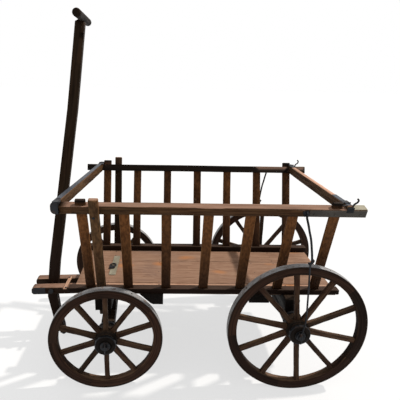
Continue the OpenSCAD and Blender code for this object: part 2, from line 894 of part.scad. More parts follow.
rear_nave(-1);  // rear_left_nave
wheel_spokes(false, -1);  // rear_left_spokes
wheel_felloes(false, -1);  // rear_left_felloes
wheel_tyre(false, -1);  // rear_left_tyre
wheel_bands(false, -1);  // rear_left_bands
rear_nave(1);  // rear_right_nave
wheel_spokes(false, 1);  // rear_right_spokes
wheel_felloes(false, 1);  // rear_right_felloes
wheel_tyre(false, 1);  // rear_right_tyre
wheel_bands(false, 1);  // rear_right_bands
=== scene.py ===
"""Looks of a weathered ladder hand cart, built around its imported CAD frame.

It is laid out as an add-on: each group of pieces has its own operator, and the sizes
and colours that a user would change are properties. main() calls them all in order.
"""

import json
import math

import bmesh
import bpy
from mathutils import Matrix, Vector, noise


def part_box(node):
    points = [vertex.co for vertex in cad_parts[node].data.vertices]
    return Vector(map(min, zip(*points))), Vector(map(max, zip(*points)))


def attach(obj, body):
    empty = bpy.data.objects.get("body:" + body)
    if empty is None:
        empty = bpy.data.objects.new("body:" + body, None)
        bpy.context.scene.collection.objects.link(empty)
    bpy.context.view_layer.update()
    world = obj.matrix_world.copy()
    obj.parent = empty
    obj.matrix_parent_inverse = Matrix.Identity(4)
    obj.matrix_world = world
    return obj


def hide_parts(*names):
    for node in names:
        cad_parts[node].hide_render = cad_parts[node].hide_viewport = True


bl_info = {
    "name": "Ladder hand cart",
    "version": (1, 0, 0),
    "blender": (4, 5, 0),
    "location": "View3D > Sidebar > Hand cart",
    "description": "Builds the weathered timber, iron and wheels of a ladder hand cart",
    "category": "Object",
}

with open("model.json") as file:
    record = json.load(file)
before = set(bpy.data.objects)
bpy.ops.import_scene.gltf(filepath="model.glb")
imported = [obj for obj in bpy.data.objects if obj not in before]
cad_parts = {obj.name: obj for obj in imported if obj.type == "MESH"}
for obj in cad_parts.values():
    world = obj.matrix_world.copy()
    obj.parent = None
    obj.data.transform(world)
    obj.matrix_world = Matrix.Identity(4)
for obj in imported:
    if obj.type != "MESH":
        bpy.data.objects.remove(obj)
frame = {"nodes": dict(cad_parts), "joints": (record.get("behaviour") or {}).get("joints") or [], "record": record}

MM = 0.001
NODES = frame["nodes"]
JOINTS = {joint["name"]: joint for joint in frame["joints"]}
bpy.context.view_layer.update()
ALONG_X = Vector((1, 0, 0))
ALONG_Y = Vector((0, 1, 0))
WHEELS = ("front_left", "front_right", "rear_left", "rear_right")
AXLE_AXIS = Vector(JOINTS["front_left_wheel_spin"]["axis"]).normalized()
HOUND_AXIS = Vector((AXLE_AXIS.y, -AXLE_AXIS.x, 0))

# The lean of the ladders and of the stakes from upright, in degrees, the place of the
# lower rails and the top rails' size
LEAN, STAKE_LEAN = 15.7, 14.4
RAIL_Y, RAIL_TOP = 205.25 * MM, 385 * MM
RAIL_LOW, RAIL_HIGH = 388 * MM, 420 * MM
RAIL_HALF = 16.5 * MM
# The slats' heads stand above the top rails from this height up
SLAT_HEADS = RAIL_TOP + (RAIL_HIGH - 6 * MM) * math.cos(math.radians(LEAN))
REAR_AXLE = Vector(JOINTS["rear_left_wheel_spin"]["pos_m"])
# How far a wheel has rolled on from a spoke standing upright, in degrees
ROLLED = {"rear_left": 5.3}
# Wheels in section: half the rim's width, the depths of tyre and felloes, the nave's inner
# and outer ends from the wheel's middle, and its bores
RIM_HALF, TYRE_DEEP, FELLOE_DEEP = 14 * MM, 5 * MM, 32 * MM
NAVE_INNER, NAVE_OUTER = -62 * MM, 45.2 * MM
BORES = {"front": 9.05 * MM, "rear": 10.05 * MM}
# The camera: its place, its pitch, yaw and roll in radians, its sensor's width in mm, and
# the frame's width, the lens's length and its middle, all three in the frame's own measure
CAMERA_AT = (-0.08691, -1.638533, 1.255054)
CAMERA_TURN = (0.261584, 0.020853, 0.019571)
SENSOR, FRAME, FOCUS, MIDDLE = 36.0, 400.0, 380.0, (176.231, 176.029)

# Each finish's material slot. The first finish of a slot goes on its CAD nodes too
SLOTS = {"stained ash": "stained_ash", "sun browned ash": "stained_ash",
         "weathered wheel ash": "stained_ash", "greased oak": "dark_timber",
         "bare pine boards": "floor_boards", "wrought iron": "wrought_iron",
         "brown plate iron": "wrought_iron", "scaled strap iron": "wrought_iron",
         "tarnished zinc plate": "wrought_iron", "road worn tyre iron": "tyre_iron"}


def linear(hex_colour):
    """An sRGB hex colour as the linear RGBA that shaders take."""
    channels = [int(hex_colour[i:i + 2], 16) / 255 for i in (1, 3, 5)]
    return [c / 12.92 if c <= 0.04045 else ((c + 0.055) / 1.055) ** 2.4 for c in channels] + [1.0]


# ---------- properties ----------

class CartTimber(bpy.types.PropertyGroup):
    """Wear and colours of the timber"""

    arris: bpy.props.FloatProperty(
        name="Arris", description="Width that the sharp edges are worn off by",
        default=2.6 * MM, min=0.5 * MM, max=6 * MM, precision=4, unit="LENGTH")
    warp: bpy.props.FloatProperty(
        name="Warp", description="How far the timbers have bent out of line",
        default=1.3 * MM, min=0, max=4 * MM, precision=4, unit="LENGTH")
    nick: bpy.props.FloatProperty(
        name="Nicks", description="Depth of the knocks along the edges",
        default=1.5 * MM, min=0, max=4 * MM, precision=4, unit="LENGTH")
    stain: bpy.props.FloatVectorProperty(
        name="Stain", description="Colour of the browned ash",
        subtype="COLOR", size=4, min=0, max=1, default=linear("#5c4028"))
    boards: bpy.props.FloatVectorProperty(
        name="Boards", description="Colour of the bleached floor boards",
        subtype="COLOR", size=4, min=0, max=1, default=linear("#745b49"))


class CartWheels(bpy.types.PropertyGroup):
    """Sizes of the wheels' own pieces"""

    spoke_root: bpy.props.FloatProperty(
        name="Spoke root", description="Width of a spoke at the nave",
        default=23 * MM, min=12 * MM, max=26 * MM, precision=4, unit="LENGTH")
    spoke_waist: bpy.props.FloatProperty(
        name="Spoke waist", description="Width of a spoke at its thinnest",
        default=19.5 * MM, min=8 * MM, max=22 * MM, precision=4, unit="LENGTH")
    spoke_count: bpy.props.IntProperty(
        name="Spokes", description="Number of spokes in a wheel",
        default=10, min=6, max=14)
    felloe_count: bpy.props.IntProperty(
        name="Felloes", description="Number of felloes in a rim",
        default=5, min=3, max=7)


class CartStage(bpy.types.PropertyGroup):
    """Light and backdrop"""

    key: bpy.props.FloatProperty(
        name="Key light", description="Strength of the main light",
        default=5.3, min=0, max=20, unit="NONE", subtype="FACTOR")
    fill: bpy.props.FloatProperty(
        name="Fill", description="Strength of the light from all round",
        default=1.0, min=0, max=3, subtype="FACTOR")


# ---------- materials ----------

def add_node(tree, kind, inputs=None, out=0, **settings):
    """Adds a shader node with its settings and its values or links, and gives an output."""
    node = tree.nodes.new("ShaderNode" + kind)
    for key, value in settings.items():
        setattr(node, key, value)
    for key, value in (inputs or {}).items():
        if isinstance(value, bpy.types.NodeSocket):
            tree.links.new(value, node.inputs[key])
        else:
            node.inputs[key].default_value = value
    return node.outputs[out] if node.outputs else None


def blank_material(name):
    material = bpy.data.materials.new(name)
    material.use_nodes = True
    material.node_tree.nodes.clear()
    return material, material.node_tree


def hexed(colours):
    """Each hex colour turned to linear; a colour that is a property's already is."""
    return [linear(c) if isinstance(c, str) else c for c in colours]


def timber_material(name, wood_colours, washed_and_lit_share, washed_and_lit_colours, foot=0.0, knots=0.0,
                    gloss=0.62, mottle=0.55):
    """Open-grained timber. Growth rings some 5 to 8 mm apart and vessels some 1 mm apart run
    along each piece's own grain attribute, both coarser than real ones so that they show.
    The tone attribute sets the pieces apart; the darker tones of the right ladder, the right stake
    and the under frame are painted shade. A further attribute makes the upward faces of a piece
    paler or darker, partly as weathering and partly as painted sunlight. Foot is how much
    darker the side faces are made towards the bottom, and mottle how patchy its colour is."""
    tree = blank_material(name)[1]
    wood, late, worn, grey = hexed(wood_colours)
    pale, pale_late, pale_stained = hexed(washed_and_lit_colours)
    grain = add_node(tree, "Attribute", out="Vector", attribute_name="grain")
    tone, edge, wash_and_light = (add_node(tree, "Attribute", out="Fac", attribute_name=layer)
                        for layer in ("tone", "edge", "wash_and_light"))
    up = add_node(tree, "SeparateXYZ", {0: add_node(tree, "TexCoord", out="Normal")}, 2)
    height = add_node(tree, "SeparateXYZ", {0: add_node(tree, "TexCoord", out="Object")}, 2)

    # Rings: long along the grain, a few millimetres across it, bent where a knot is
    swirl = add_node(tree, "TexNoise", {"Vector": grain, "Scale": 7.0, "Detail": 2.0,
                                        "Roughness": 0.55})
    bent = add_node(tree, "VectorMath",
                    {0: swirl, 1: (0.0, 0.012 + 0.03 * knots, 0.02 + 0.03 * knots), 2: grain},
                    operation="MULTIPLY_ADD")
    fine = []
    for source, stretch, rough in ((bent, (5.0, 200.0, 120.0), 0.5),
                                   (grain, (24.0, 900.0, 900.0), 0.6)):
        at = add_node(tree, "Mapping", {"Vector": source, "Scale": stretch})
        fine.append(add_node(tree, "TexNoise", {"Vector": at, "Scale": 1.0, "Detail": 3.0,
                                                "Roughness": rough}))
    rings, vessels = fine
    # Weather runs along the timber too, so its patches are some three times as long as wide
    drawn = add_node(tree, "Mapping", {"Vector": grain, "Scale": (0.3, 1.0, 1.0)})
    patches, stains, rubbed = (
        add_node(tree, "TexNoise", {"Vector": drawn, "Scale": scale, "Detail": detail,
                                    "Roughness": rough, "Distortion": warp})
        for scale, detail, rough, warp in ((14.0, 5.0, 0.6, 0.4), (5.5, 6.0, 0.62, 0.8),
                                           (55.0, 4.0, 0.6, 0.0)))

    # How dark each timber is, partly painted shade, and how pale its upward faces are, partly painted sunlight, as
    # greys to multiply by
    tints = []
    for value, low, high, least, most in ((tone, 0.0, 1.0, 0.02, 1.58),
                                          (wash_and_light, -1.0, 3.0, 0.0, 4.0)):
        tint = add_node(tree, "MapRange", {0: value, 1: low, 2: high, 3: least, 4: most})
        tints.append(add_node(tree, "CombineColor", {0: tint, 1: tint, 2: tint}))
    dim, paler = tints

    # Late wood in the rings and grey patches, then dirt in the vessels and dark stains
    ringed, greyed, dirty, stained = (
        add_node(tree, "MapRange", {0: value, 1: low, 2: high, 3: 0.0, 4: most})
        for value, low, high, most in (
            (rings, 0.38, 0.64, 1.0), (patches, 0.42, 0.72, mottle),
            (vessels, 0.56, 0.74, 0.5), (stains, 0.54, 0.68, mottle * 0.9)))
    for share, over, blend in (
            (ringed, late, "MIX"), (greyed, grey, "MIX"), (1.0, dim, "MULTIPLY"),
            (dirty, linear("#0c0805"), "MIX"), (stained, linear("#100a06"), "MIX")):
        wood = add_node(tree, "Mix", {0: share, 6: wood, 7: over}, 2, data_type="RGBA",
                        blend_type=blend)

    # Faces that lie upwards are made paler: partly weathering, partly painted sunlight
    washed_and_lit = add_node(tree, "MapRange", {0: up, 1: 0.6, 2: 0.93})
    ragged = add_node(tree, "MapRange", {0: patches, 1: 0.25, 2: 0.6, 3: 0.72, 4: 1.0})
    for share in (ragged, washed_and_lit_share):
        washed_and_lit = add_node(tree, "Math", {0: washed_and_lit, 1: share}, operation="MULTIPLY",
                          use_clamp=True)
    for colour, value, low, high, most in ((pale_late, rings, 0.35, 0.68, 1.0),
                                           (pale_stained, stains, 0.5, 0.7, 0.45)):
        share = add_node(tree, "MapRange", {0: value, 1: low, 2: high, 3: 0.0, 4: most})
        pale = add_node(tree, "Mix", {0: share, 6: pale, 7: colour}, 2, data_type="RGBA")
    pale = add_node(tree, "Mix", {0: 1.0, 6: pale, 7: paler}, 2, data_type="RGBA",
                    blend_type="MULTIPLY")
    wood = add_node(tree, "Mix", {0: washed_and_lit, 6: wood, 7: pale}, 2, data_type="RGBA")
    # Side faces are made darker towards the bottom: fully below 0.36 m, fading out by 0.72 m
    if foot:
        low = add_node(tree, "MapRange", {0: height, 1: 0.36, 2: 0.72, 3: foot, 4: 0.0})
        side = add_node(tree, "MapRange", {0: up, 1: 0.3, 2: 0.7, 3: 1.0, 4: 0.0})
        low_darkening = add_node(tree, "Math", {0: low, 1: side}, operation="MULTIPLY", use_clamp=True)
        wood = add_node(tree, "Mix", {0: low_darkening, 6: wood, 7: linear("#160a05")}, 2,
                        data_type="RGBA")

    # Hands, ropes and knocks have rubbed the edges bare
    bare = add_node(tree, "MapRange", {0: rubbed, 1: 0.42, 2: 0.64, 3: 0.0, 4: 0.7})
    bare = add_node(tree, "Math", {0: edge, 1: bare}, operation="MULTIPLY", use_clamp=True)
    worn = add_node(tree, "Mix", {0: 1.0, 6: worn, 7: dim}, 2, data_type="RGBA",
                    blend_type="MULTIPLY")
    wood = add_node(tree, "Mix", {0: bare, 6: wood, 7: worn}, 2, data_type="RGBA")
    if knots:
        cells = add_node(tree, "Mapping", {"Vector": bent, "Scale": (4.4, 9.0, 9.0)})
        knot = add_node(tree, "TexVoronoi", {"Vector": cells, "Scale": 1.0, "Randomness": 1.0},
                        "Distance", feature="F1")
        for colour, low, high, most in (("#885a38", 0.09, 0.24, 0.75),
                                        ("#6b3f22", 0.03, 0.08, 0.8)):
            share = add_node(tree, "MapRange", {0: knot, 1: low, 2: high, 3: most, 4: 0.0})
            wood = add_node(tree, "Mix", {0: share, 6: wood, 7: linear(colour)}, 2,
                            data_type="RGBA")

    relief = add_node(tree, "Math", {0: rings, 1: vessels}, operation="ADD")
    shader = add_node(tree, "BsdfPrincipled", {
        "Base Color": wood, "Specular IOR Level": 0.06,
        "Roughness": add_node(tree, "MapRange", {0: rings, 1: 0.3, 2: 0.7, 3: gloss - 0.08,
                                                 4: gloss + 0.14}),
        "Normal": add_node(tree, "Bump", {"Strength": 0.6, "Distance": 0.0012,
                                          "Height": relief})})
    add_node(tree, "OutputMaterial", {"Surface": shader})


def iron_material(name, colours, rusted, rough, metal, per_metre=60.0):
    """Forged iron. Rust lies in patches some 11 to 17 mm across, with pits of 2 to 3 mm; the
    rest keeps a dull skin, and rubbed places are brighter."""
    tree = blank_material(name)[1]
    colour, rust, bare = hexed(colours)
    where = add_node(tree, "TexCoord", out="Object")
    patches, pits, cloud = (
        add_node(tree, "TexNoise", {"Vector": where, "Scale": scale, "Detail": detail,
                                    "Roughness": roughness, "Distortion": warp})
        for scale, detail, roughness, warp in ((per_metre, 6.0, 0.65, 0.6),
                                               (420.0, 4.0, 0.6, 0.0), (11.0, 3.0, 0.5, 0.0)))
    amount = add_node(tree, "MapRange", {0: patches, 1: rusted, 2: rusted + 0.14})
    rubbed = add_node(tree, "MapRange", {0: cloud, 1: 0.35, 2: 0.65})
    pitted = add_node(tree, "MapRange", {0: pits, 1: 0.5, 2: 0.75, 3: 0.0, 4: 0.6})
    for share, over in ((rubbed, bare), (amount, rust), (pitted, linear("#0b0806"))):
        colour = add_node(tree, "Mix", {0: share, 6: colour, 7: over}, 2, data_type="RGBA")
    relief = add_node(tree, "Math", {0: patches, 1: 0.7, 2: pits}, operation="MULTIPLY_ADD")
    shader = add_node(tree, "BsdfPrincipled", {
        "Base Color": colour, "Specular IOR Level": 0.3,
        "Metallic": add_node(tree, "MapRange", {0: amount, 1: 0.0, 2: 1.0, 3: metal, 4: 0.1}),
        "Roughness": add_node(tree, "MapRange", {0: amount, 1: 0.0, 2: 1.0, 3: rough, 4: 0.86}),
        "Normal": add_node(tree, "Bump", {"Strength": 0.45, "Distance": 0.0008,
                                          "Height": relief})})
    add_node(tree, "OutputMaterial", {"Surface": shader})


def tyre_material():
    """Tyre iron, rolled along gravel: the tread is worn blue-grey and scratched round the
    wheel, and the sides are brown with rust and as dark as the timber beside them."""
    tree = blank_material("road worn tyre iron")[1]
    where = add_node(tree, "TexCoord", out="Object")
    tread = add_node(tree, "Attribute", out="Fac", attribute_name="edge")
    grain = add_node(tree, "Attribute", out="Vector", attribute_name="grain")
    scratched = add_node(tree, "Mapping", {"Vector": grain, "Scale": (30.0, 1.0, 700.0)})
    patches, pits, scratches = (
        add_node(tree, "TexNoise", {"Vector": at, "Scale": scale, "Detail": detail,
                                    "Roughness": roughness, "Distortion": warp})
        for at, scale, detail, roughness, warp in (
            (where, 38.0, 6.0, 0.65, 0.6), (where, 420.0, 4.0, 0.6, 0.0),
            (scratched, 1.0, 3.0, 0.6, 0.0)))
    scratched, rusted, browned, pitted = (
        add_node(tree, "MapRange", {0: value, 1: low, 2: high, 3: 0.0, 4: most})
        for value, low, high, most in ((scratches, 0.35, 0.65, 1.0), (patches, 0.5, 0.66, 0.8),
                                       (patches, 0.4, 0.6, 1.0), (pits, 0.5, 0.75, 0.5)))
    worn, side = linear("#898a8d"), linear("#1a120e")
    for share, over in ((scratched, "#6a6764"), (rusted, "#4a3527")):
        worn = add_node(tree, "Mix", {0: share, 6: worn, 7: linear(over)}, 2, data_type="RGBA")
    side = add_node(tree, "Mix", {0: browned, 6: side, 7: linear("#2b1d15")}, 2,
                    data_type="RGBA")
    colour = side
    for share, over in ((tread, worn), (pitted, linear("#0b0806"))):
        colour = add_node(tree, "Mix", {0: share, 6: colour, 7: over}, 2, data_type="RGBA")
    shine = add_node(tree, "MapRange", {0: patches, 1: 0.5, 2: 0.66, 3: 0.55, 4: 0.1})
    bare = add_node(tree, "Math", {0: tread, 1: shine}, operation="MULTIPLY", use_clamp=True)
    shader = add_node(tree, "BsdfPrincipled", {
        "Base Color": colour, "Metallic": bare, "Specular IOR Level": 0.2,
        "Roughness": add_node(tree, "MapRange", {0: bare, 1: 0.0, 2: 0.55, 3: 0.85, 4: 0.5}),
        "Normal": add_node(tree, "Bump", {"Strength": 0.4, "Distance": 0.0008,
                                          "Height": pits})})
    add_node(tree, "OutputMaterial", {"Surface": shader})


def make_materials():
    """Timbers take early wood, late wood, worn edges and grey patches, then how far their
    tops are paler, partly weathering and partly painted sunlight, and the pale colours.
    Irons take base, rust and bare colours."""
    props = bpy.context.scene.cart_timber
    # Ash, stained brown and sun-browned: dull, with worn tan edges and pinkish tops that are partly weathered and
    # partly painted sunlight
    timber_material("stained ash", (list(props.stain), "#3a2413", "#80603f", "#4a3c28"),
                    0.95, ("#71584a", "#5c4539", "#54463b"), foot=0.75)
    # Ash of the slats, browned by the sun: warmer than the rails and evenly coloured
    timber_material("sun browned ash", ("#623d1f", "#452913", "#7d5a36", "#4c341c"),
                    0.9, ("#71584a", "#5c4539", "#54463b"), foot=0.95, mottle=0.25)
    # Ash of the wheels, never under cover: redder and darker, with road dirt in the grain
    timber_material("weathered wheel ash", ("#4b3022", "#2c1a12", "#7b6148", "#3a2e24"),
                    0.55, ("#6d5645", "#54412f", "#3b2d22"))
    # Oak blackened by axle grease and road dirt: nearly black, slightly greasy
    timber_material("greased oak", ("#1d140e", "#100a07", "#3c2e23", "#17120e"),
                    0.35, ("#4a3a2d", "#32261d", "#241c15"), gloss=0.56)
    # Pine boards, never stained: bleached pinkish tan with amber knots and dirty seams
    timber_material("bare pine boards", (list(props.boards), "#5a4334", "#3a2a21", "#5d4c40"),
                    0.9, ("#7a604f", "#644a3b", "#5a4a45"), knots=1.0, gloss=0.7)
    # Wrought iron, forged and never painted: blue-black scale with brown rust
    iron_material("wrought iron", ("#16171a", "#2c1c13", "#2a2c30"), 0.54, 0.46, 0.7)
    # Plate iron with a brown skin, worn to a dull grey along the rails' sides
    iron_material("brown plate iron", ("#2f2b27", "#33241a", "#45413b"), 0.56, 0.5, 0.4, 70.0)
    # Strap iron with its blue-grey mill scale, over the cross rails
    iron_material("scaled strap iron", ("#2c2f36", "#33261d", "#41454e"), 0.60, 0.45, 0.5)
    # Zinc-coated plate, yellowed and dull, over the kingpin and the rails' rear ends
    iron_material("tarnished zinc plate", ("#6f695a", "#4d4030", "#85806f"),
                  0.62, 0.55, 0.35, 90.0)
    tyre_material()


# ---------- mesh helpers ----------

def islands(bm):
    """The groups of vertices that hang together, in a steady order."""
    bm.verts.ensure_lookup_table()
    seen, groups = set(), []
    for start in bm.verts:
        if start.index in seen:
            continue
        seen.add(start.index)
        group, queue = [], [start]
        while queue:
            vert = queue.pop()
            group.append(vert)
            for link in vert.link_edges:
                other = link.other_vert(vert)
                if other.index not in seen:
                    seen.add(other.index)
                    queue.append(other)
        groups.append(group)
    return groups


def wear(bm, amount, reach=26.0):
    """Pushes edge vertices in by noise, so that arrises look knocked and rubbed."""
    edge = bm.verts.layers.float["edge"]
    for vert in bm.verts:
        if vert[edge] > 0:
            dent = noise.noise(vert.co * reach * 3) + 0.8 * noise.noise(vert.co * reach * 8)
            vert.co -= vert.normal * amount * max(0.0, dent + 0.25)


def bend(bm, along, amount):
    """Bends long pieces out of line by slow noise, the same at each point along them."""
    side = along.orthogonal().normalized()
    up = along.cross(side)
    for group in islands(bm):
        middle = sum((v.co for v in group), Vector()) / len(group)
        seed = Vector((middle.y, middle.z, middle.x)) * 37.0
        for vert in group:
            t = (vert.co - middle).dot(along)
            place = seed + along * t * 3.2
            vert.co += side * amount * noise.noise(place) + up * amount * noise.noise(place * 1.3)


def layers(bm):
    """The layers that the finishes read on every piece: grain, tone and edge."""
    vectors, floats = bm.verts.layers.float_vector, bm.verts.layers.float
    grain = vectors.get("grain") or vectors.new("grain")
    return [grain] + [floats.get(name) or floats.new(name) for name in ("tone", "edge")]


def mm(*points):
    """Points that are given in millimetres."""
    return [tuple(value * MM for value in point) for point in points]


def cad_copy(node):
    """A CAD node's mesh with its doubles merged and its flat faces whole."""
    bm = bmesh.new()
    bm.from_mesh(NODES[node].data)
    bmesh.ops.remove_doubles(bm, verts=bm.verts, dist=1e-5)
    bmesh.ops.dissolve_limit(bm, angle_limit=math.radians(0.6), verts=bm.verts, edges=bm.edges)
    return bm


def sharp_edges(bm):
    return [e for e in bm.edges
            if len(e.link_faces) == 2 and e.calc_face_angle(0) > math.radians(28)]


def round_edges(bm, edges, offset):
    return bmesh.ops.bevel(bm, geom=edges, offset=offset, offset_type="OFFSET", segments=2,
                           profile=0.5, affect="EDGES", clamp_overlap=True, material=-1)


def finish_piece(name, bm, finish, body, nodes=(), sharp=32.0):
    """Turns a bmesh into a piece that rides on its body and stands for its CAD nodes."""
    mesh = bpy.data.meshes.new(name)
    bm.to_mesh(mesh)
    bm.free()
    mesh.shade_smooth()
    mesh.set_sharp_from_angle(angle=math.radians(sharp))
    mesh.materials.append(bpy.data.materials[finish])
    piece = bpy.data.objects.new(name, mesh)
    bpy.context.scene.collection.objects.link(piece)
    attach(piece, body)
    if nodes:
        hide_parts(*nodes)


def timber(node, along, finish, body="wagon", arris=None, warp=1.0, shade=0.5, spread=0.12,
           wash_and_light=0.0, tarred=None):
    """A worn copy of a CAD timber: its arrises are bevelled, knocked and slightly bent.
    The paleness of the upward faces, partly weathering and partly painted sunlight, is one
    value, or a function of a solid's low corner for a node of several solids.
    Above the height tarred, rain has blackened the end grain."""
    props = bpy.context.scene.cart_timber
    bm = cad_copy(node)
    tone, edge = layers(bm)[1:]
    wash_and_light_layer = bm.verts.layers.float.new("wash_and_light")
    for number, group in enumerate(islands(bm)):
        low = Vector([min(v.co[i] for v in group) for i in range(3)])
        value = shade + spread * noise.noise(low * 61.0 + Vector((number * 7.3, 1.7, 3.1)))
        paler = wash_and_light(low) if callable(wash_and_light) else wash_and_light
        for vert in group:
            vert[tone] = value
            vert[wash_and_light_layer] = paler
    bevelled = set(round_edges(bm, sharp_edges(bm), arris or props.arris)["faces"])
    for vert in bm.verts:
        vert[edge] = float(bool(vert.link_faces) and all(f in bevelled for f in vert.link_faces))
    # Cut across every so often, so that the timber can bend
    step = 45 * MM
    reach = [v.co.dot(along) for v in bm.verts]
    cut = min(reach) + step
    while cut < max(reach) - step * 0.4:
        bmesh.ops.bisect_plane(bm, geom=bm.verts[:] + bm.edges[:] + bm.faces[:],
                               plane_co=along * cut, plane_no=along, dist=1e-6)
        cut += step
    bm.normal_update()
    store_grain(bm, along, node)
    bend(bm, along, props.warp * warp)
    bm.normal_update()
    wear(bm, props.nick)
    if tarred:
        tone = bm.verts.layers.float["tone"]
        for vert in bm.verts:
            if vert.co.z > tarred:
                vert[tone] = 0.0
    finish_piece(node + "_worn", bm, finish, body, [node])


def store_grain(bm, along, name):
    """Writes each vertex's place in its own timber, so that the grain follows the timber."""
    grain = layers(bm)[0]
    side = along.cross(Vector((0, 0, 1)))
    side = side.normalized() if side.length > 0.3 else ALONG_Y.copy()
    up = along.cross(side).normalized()
    start = sum(ord(c) for c in name) * 0.37
    for number, group in enumerate(islands(bm)):
        shift = Vector((start + number * 1.37, number * 0.71, start * 0.53))
        for vert in group:
            vert[grain] = Vector((vert.co.dot(along), vert.co.dot(side), vert.co.dot(up))) + shift


# ---------- wheel pieces: modelled lying flat, outer side up, then placed ----------

def wheel_place(wheel):
    """The wheel's middle, with local z outwards along its axle and local x up."""
    joint = JOINTS[wheel + "_wheel_spin"]
    out = Vector(joint["axis"]).normalized() * (-1 if "left" in wheel else 1)
    up = Vector((0, 0, 1))
    turn = Matrix((up, out.cross(up), out)).transposed().to_4x4()
    rolled = Matrix.Rotation(math.radians(ROLLED.get(wheel, 0)), 4, "Z")
    return Matrix.Translation(Vector(joint["pos_m"])) @ turn @ rolled


def spin_profile(bm, points, steps, angle=2 * math.pi, solid=False):
    """Spins a profile of (radius, height) points round the wheel's axle."""
    verts = [bm.verts.new((r, 0, z)) for r, z in points]
    if solid:
        geometry = [bm.faces.new(verts)]
    else:
        geometry = [bm.edges.new((a, b)) for a, b in zip(verts, verts[1:] + verts[:1])]
    full = angle > 2 * math.pi - 1e-6
    bmesh.ops.spin(bm, geom=verts + geometry, cent=(0, 0, 0), axis=(0, 0, 1), angle=angle,
                   steps=steps, use_merge=full, use_normal_flip=False, use_duplicate=False)


def oblong(inner, outer, low, high):
    """The profile of a plain hoop."""
    return [(inner, low), (outer, low), (outer, high), (inner, high)]


def rounded(points, radius):
    """A closed profile with each corner cut twice, as a worn edge."""
    cut = []
    for i, here in enumerate(points):
        before, after = Vector(points[i - 1]), Vector(points[(i + 1) % len(points)])
        here = Vector(here)
        a = here + (before - here).normalized() * radius
        b = here + (after - here).normalized() * radius
        middle = (a + b) / 2 * 0.5 + here * 0.5
        cut += [tuple(a), tuple(middle), tuple(b)]
    return cut


def finish_in_wheel(wheel, part, look, bm, place, finish, polar, nick=0.0, sharp=40.0):
    """Stores grain in the wheel's own measure, moves the mesh to the wheel and finishes it.
    Polar grain runs round the wheel, and other grain straight out from its middle."""
    grain, tone = layers(bm)[:2]
    start = sum(ord(c) for c in wheel + part) * 0.29
    for number, group in enumerate(islands(bm)):
        value = 0.24 + 0.2 * noise.noise(Vector((start, number * 3.7, 0.4)))
        middle = sum((v.co for v in group), Vector()) / len(group)
        heading = math.atan2(middle.y, middle.x)
        for vert in group:
            radius = math.hypot(vert.co.x, vert.co.y)
            angle = math.atan2(vert.co.y, vert.co.x) - heading
            angle = (angle + math.pi) % (2 * math.pi) - math.pi
            if polar:
                local = Vector((angle * 0.22, radius, vert.co.z))
            else:
                local = Vector((radius * math.cos(angle), radius * math.sin(angle), vert.co.z))
            vert[grain] = local + Vector((start + number * 1.3, number * 0.9, start * 0.4))
            vert[tone] = value
    bmesh.ops.recalc_face_normals(bm, faces=bm.faces)
    bmesh.ops.transform(bm, matrix=place, verts=bm.verts)
    bm.normal_update()
    wear(bm, nick)
    finish_piece(f"{wheel}_{look}_{part}", bm, finish, wheel + "_wheel", [f"{wheel}_{part}"],
                 sharp)


def spokes(wheel, place, rim_inner):
    props = bpy.context.scene.cart_wheels
    root_r, tip_r = 40 * MM, rim_inner + 8 * MM
    bm = bmesh.new()
    edge = layers(bm)[2]
    for number in range(props.spoke_count):
        made = bmesh.ops.create_cube(bm, size=1.0)["verts"]
        bmesh.ops.scale(bm, vec=(tip_r - root_r, props.spoke_root, 20 * MM), verts=made)
        bmesh.ops.translate(bm, vec=((tip_r + root_r) / 2, 0, 0), verts=made)
        long = {e for v in made for e in v.link_edges
                if abs(e.verts[0].co.x - e.verts[1].co.x) > 10 * MM}
        bevelled = round_edges(bm, list(long), 3.6 * MM)
        own = list(set(bevelled["verts"]) | {v for v in made if v.is_valid})
        faces = list({f for v in own for f in v.link_faces})
        edges = list({e for v in own for e in v.link_edges})
        geometry = own + edges + faces
        for share in (0.06, 0.14, 0.22, 0.32, 0.42, 0.52, 0.62, 0.72, 0.82, 0.92):
            cut = bmesh.ops.bisect_plane(
                bm, geom=geometry, plane_co=(root_r + (tip_r - root_r) * share, 0, 0),
                plane_no=(1, 0, 0), dist=1e-7)
            geometry = list(set(cut["geom"]) | set(cut["geom_cut"]))
        own = [g for g in geometry if isinstance(g, bmesh.types.BMVert)]
        seed = Vector((number * 5.1, sum(ord(c) for c in wheel) * 0.7, 0))
        for vert in own:
            share = (vert.co.x - root_r) / (tip_r - root_r)
            waist = props.spoke_waist / props.spoke_root
            width = waist + (1 - waist) * max(0.0, 1 - share / 0.28) ** 1.4
            width += 0.06 * max(0.0, (share - 0.8) / 0.2)
            thick = 1.0 if share < 0.12 else 0.92 + 0.08 * max(0.0, 1 - (share - 0.12) / 0.2)
            place_x = seed + Vector((vert.co.x * 9, 0, 0))
            vert.co.y = vert.co.y * width + 0.9 * MM * noise.noise(place_x)
            vert.co.z = vert.co.z * thick + 0.7 * MM * noise.noise(place_x * 1.7)
            vert[edge] = 0.45 if abs(vert.co.y) > 0.3 * props.spoke_root * width else 0.0
        bmesh.ops.rotate(bm, cent=(0, 0, 0), verts=own,
                         matrix=Matrix.Rotation(2 * math.pi * number / props.spoke_count, 3, "Z"))
    finish_in_wheel(wheel, "spokes", "worn", bm, place, "weathered wheel ash", False, 0.8 * MM)


